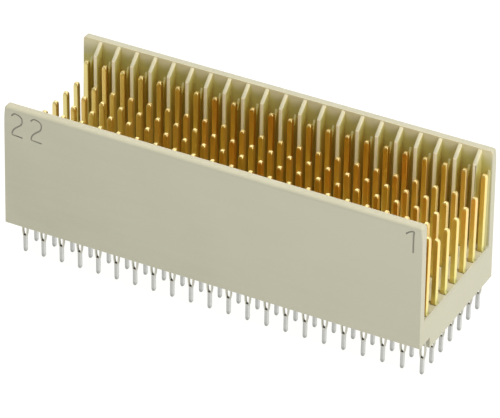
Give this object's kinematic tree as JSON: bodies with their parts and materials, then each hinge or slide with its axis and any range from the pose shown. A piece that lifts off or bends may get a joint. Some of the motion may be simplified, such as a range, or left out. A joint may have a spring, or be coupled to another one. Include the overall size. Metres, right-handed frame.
{
  "type": "backplane connector",
  "caption": "Straight press-fit backplane header: U-shaped plastic housing open at both ends, ribbed inner walls, a field of square gold pins above and flat eye tails below.",
  "frame": {"origin": "middle of the contact grid, in the plane of the housing's underside that seats on the circuit board", "axes": "+Z mating direction away from the board, +X along the columns from column 22 to column 1, +Y across the rows from row z to row f"},
  "size_m": [0.0436, 0.0156, 0.0169],
  "materials": {
    "housing_plastic": "warm grey-beige glass-filled polyester, as moulded, with a slight sheen",
    "contact_gold": "gold-plated stamping, bright, with tin-plated grey press-fit tail"
  },
  "bodies": {
    "root": {"housing": "housing_plastic", "shield_contact_z01": "contact_gold", "shield_contact_z02": "contact_gold", "shield_contact_z03": "contact_gold", "shield_contact_z04": "contact_gold", "shield_contact_z05": "contact_gold", "shield_contact_z06": "contact_gold", "shield_contact_z07": "contact_gold", "shield_contact_z08": "contact_gold", "shield_contact_z09": "contact_gold", "shield_contact_z10": "contact_gold", "shield_contact_z11": "contact_gold", "shield_contact_z12": "contact_gold", "shield_contact_z13": "contact_gold", "shield_contact_z14": "contact_gold", "shield_contact_z15": "contact_gold", "shield_contact_z16": "contact_gold", "shield_contact_z17": "contact_gold", "shield_contact_z18": "contact_gold", "shield_contact_z19": "contact_gold", "shield_contact_z20": "contact_gold", "shield_contact_z21": "contact_gold", "shield_contact_z22": "contact_gold", "shield_contact_f01": "contact_gold", "shield_contact_f02": "contact_gold", "shield_contact_f03": "contact_gold", "shield_contact_f04": "contact_gold", "shield_contact_f05": "contact_gold", "shield_contact_f06": "contact_gold", "shield_contact_f07": "contact_gold", "shield_contact_f08": "contact_gold", "shield_contact_f09": "contact_gold", "shield_contact_f10": "contact_gold", "shield_contact_f11": "contact_gold", "shield_contact_f12": "contact_gold", "shield_contact_f13": "contact_gold", "shield_contact_f14": "contact_gold", "shield_contact_f15": "contact_gold", "shield_contact_f16": "contact_gold", "shield_contact_f17": "contact_gold", "shield_contact_f18": "contact_gold", "shield_contact_f19": "contact_gold", "shield_contact_f20": "contact_gold", "shield_contact_f21": "contact_gold", "shield_contact_f22": "contact_gold"}
  },
  "joints": []
}
